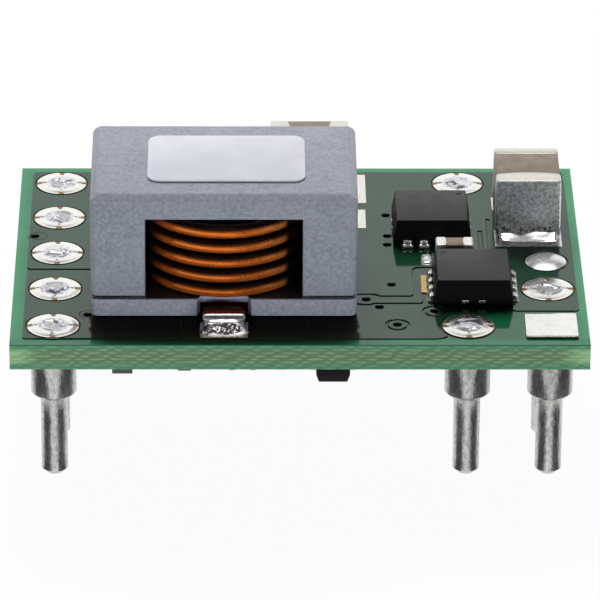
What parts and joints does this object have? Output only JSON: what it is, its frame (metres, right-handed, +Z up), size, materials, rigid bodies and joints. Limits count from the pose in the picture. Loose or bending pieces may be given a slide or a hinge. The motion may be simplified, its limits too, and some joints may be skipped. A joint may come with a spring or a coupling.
{
  "type": "dc-dc converter",
  "caption": "Through-hole point-of-load dc-dc converter: green board on shouldered pins with a ferrite inductor, open copper winding, power packages and chip capacitors.",
  "frame": {"origin": "centre of the board in plan, at the height of the pin tips that the part stands on", "axes": "+X along the board's long side, to the right when the winding window faces the viewer; +Y to the back; +Z up, out of the component side"},
  "size_m": [0.022, 0.0158, 0.0114],
  "materials": {
    "board": "semi-gloss green solder mask over laminate",
    "tinned_pin": "bright tin",
    "bare_land": "gold-flashed copper",
    "solder": "bright reflowed solder",
    "tinned_land": "tinned copper",
    "gold_land": "gold-flashed copper",
    "ferrite": "matt pressed ferrite",
    "shim": "dark film",
    "bond": "cured adhesive",
    "enamelled_copper": "enamelled copper wire",
    "label": "smooth coated paper",
    "mould_compound": "matt moulded epoxy",
    "tinned_lead": "tinned leadframe",
    "chip_ceramic": "fired dielectric",
    "tinned_end": "tin-plated end cap",
    "resistor_glaze": "black glaze"
  },
  "bodies": {
    "root": {"circuit_board": "board", "pin_1": "tinned_pin", "pin_2": "tinned_pin", "pin_3": "tinned_pin", "pin_4": "tinned_pin", "pin_5": "tinned_pin", "pin_6": "tinned_pin", "pin_7": "tinned_pin", "pin_8": "tinned_pin", "pin_9": "tinned_pin", "pin_10": "tinned_pin", "pin_lands": "bare_land", "pin_solder": "solder", "spare_land": "bare_land", "spare_land_solder": "solder", "top_lands": "tinned_land", "bare_land": "gold_land", "inductor_core": "ferrite", "inductor_base": "ferrite", "inductor_shims": "shim", "inductor_bond": "bond", "inductor_winding": "enamelled_copper", "inductor_solder": "solder", "inductor_label": "label", "front_mosfet_body": "mould_compound", "front_mosfet_leads": "tinned_lead", "front_mosfet_solder": "solder", "rear_mosfet_body": "mould_compound", "rear_mosfet_leads": "tinned_lead", "rear_mosfet_solder": "solder", "input_capacitor_body": "chip_ceramic", "input_capacitor_ends": "tinned_end", "input_capacitor_solder": "solder", "output_capacitor_body": "chip_ceramic", "output_capacitor_ends": "tinned_end", "output_capacitor_solder": "solder", "second_capacitor_body": "chip_ceramic", "second_capacitor_ends": "tinned_end", "second_capacitor_solder": "solder", "bypass_capacitor_body": "chip_ceramic", "bypass_capacitor_ends": "tinned_end", "bypass_capacitor_solder": "solder", "underside_lands": "tinned_land", "controller_body": "mould_compound", "controller_pads": "tinned_lead", "trio_package_body": "mould_compound", "trio_package_leads": "tinned_lead", "underside_capacitor_bodies": "chip_ceramic", "underside_capacitor_ends": "tinned_end", "underside_resistor_bodies": "resistor_glaze", "underside_resistor_ends": "tinned_end"}
  },
  "joints": []
}
